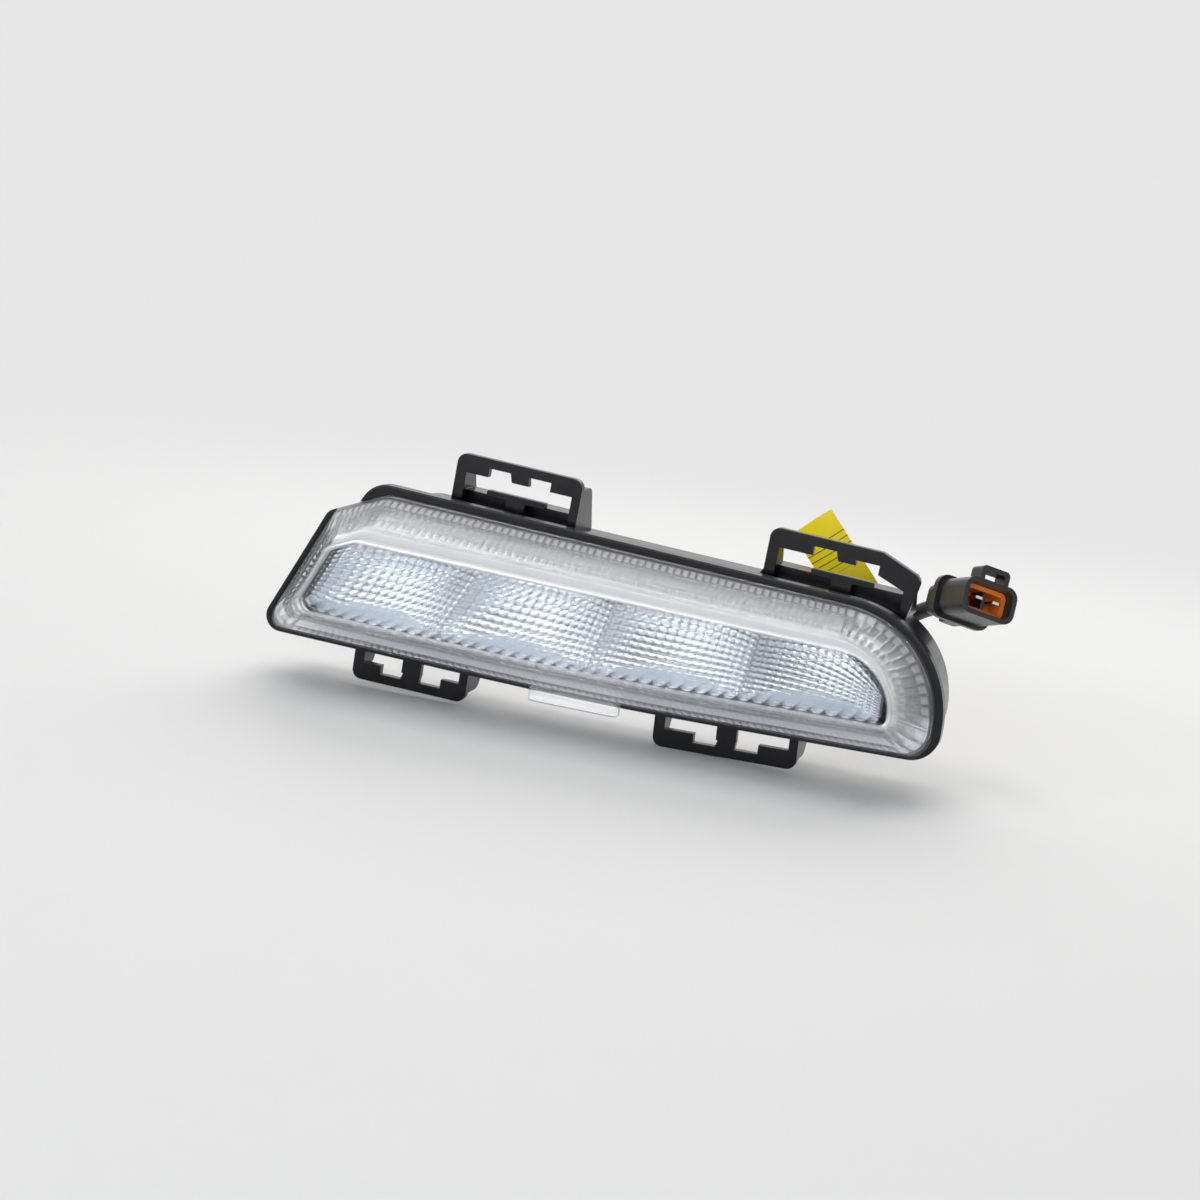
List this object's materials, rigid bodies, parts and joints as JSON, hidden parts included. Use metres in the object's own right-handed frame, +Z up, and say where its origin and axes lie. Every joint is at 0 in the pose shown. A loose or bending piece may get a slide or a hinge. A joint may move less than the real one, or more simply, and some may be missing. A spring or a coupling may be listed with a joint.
{
  "type": "daytime running light",
  "caption": "Low daytime running light: clear bevelled lens with fluted walls over faceted reflector cells, black clip-in housing with stepped clip loops, short lead with sealed connector.",
  "frame": {"origin": "middle of the opening that the rim sits in, on the plane of the rim's back shoulder", "axes": "+X along the lamp to its rounded end, -Y is the way the light leaves, +Z up"},
  "size_m": [0.2269, 0.0788, 0.0787],
  "materials": {
    "housing_plastic": "fine satin, moulded black",
    "clear_lens": "clear, polished, fluted inside",
    "seal_rubber": "matt",
    "metallised_bezel": "vacuum metallised, bright",
    "metallised_reflector": "vacuum metallised, faceted",
    "light_board": "white solder mask",
    "light_source": "yellow phosphor",
    "thermal_pad_grey": "soft matt",
    "sink_metal": "bare sheet",
    "screw_steel": "zinc plated",
    "circuit_board": "green solder mask",
    "coil_ferrite": "matt ferrite",
    "capacitor_can": "bright can",
    "chip_epoxy": "matt",
    "link_film": "thin amber film",
    "wire_insulation": "satin",
    "cap_plastic": "matt",
    "membrane_film": "white film",
    "grommet_rubber": "matt",
    "cable_sleeve": "satin sleeve",
    "label_film": "yellow, satin film",
    "connector_plastic": "satin",
    "retainer_plastic": "orange, satin",
    "pin_metal": "tin plated"
  },
  "bodies": {
    "root": {"housing": "housing_plastic", "clip_loops": "housing_plastic", "outer_lens": "clear_lens", "lens_seal": "seal_rubber", "bezel": "metallised_bezel", "reflector": "metallised_reflector", "led_board": "light_board", "leds": "light_source", "thermal_pad": "thermal_pad_grey", "heat_sink": "sink_metal", "heat_sink_screws": "screw_steel", "driver_board": "circuit_board", "driver_coil": "coil_ferrite", "driver_capacitors": "capacitor_can", "driver_chips": "chip_epoxy", "driver_screws": "screw_steel", "board_link": "link_film", "inner_leads": "wire_insulation", "breather_cap": "cap_plastic", "breather_membrane": "membrane_film", "cable_grommet": "grommet_rubber", "cable": "cable_sleeve", "cable_label": "label_film", "connector_body": "connector_plastic", "connector_seal": "seal_rubber", "connector_retainer": "retainer_plastic", "connector_pins": "pin_metal"}
  },
  "joints": []
}
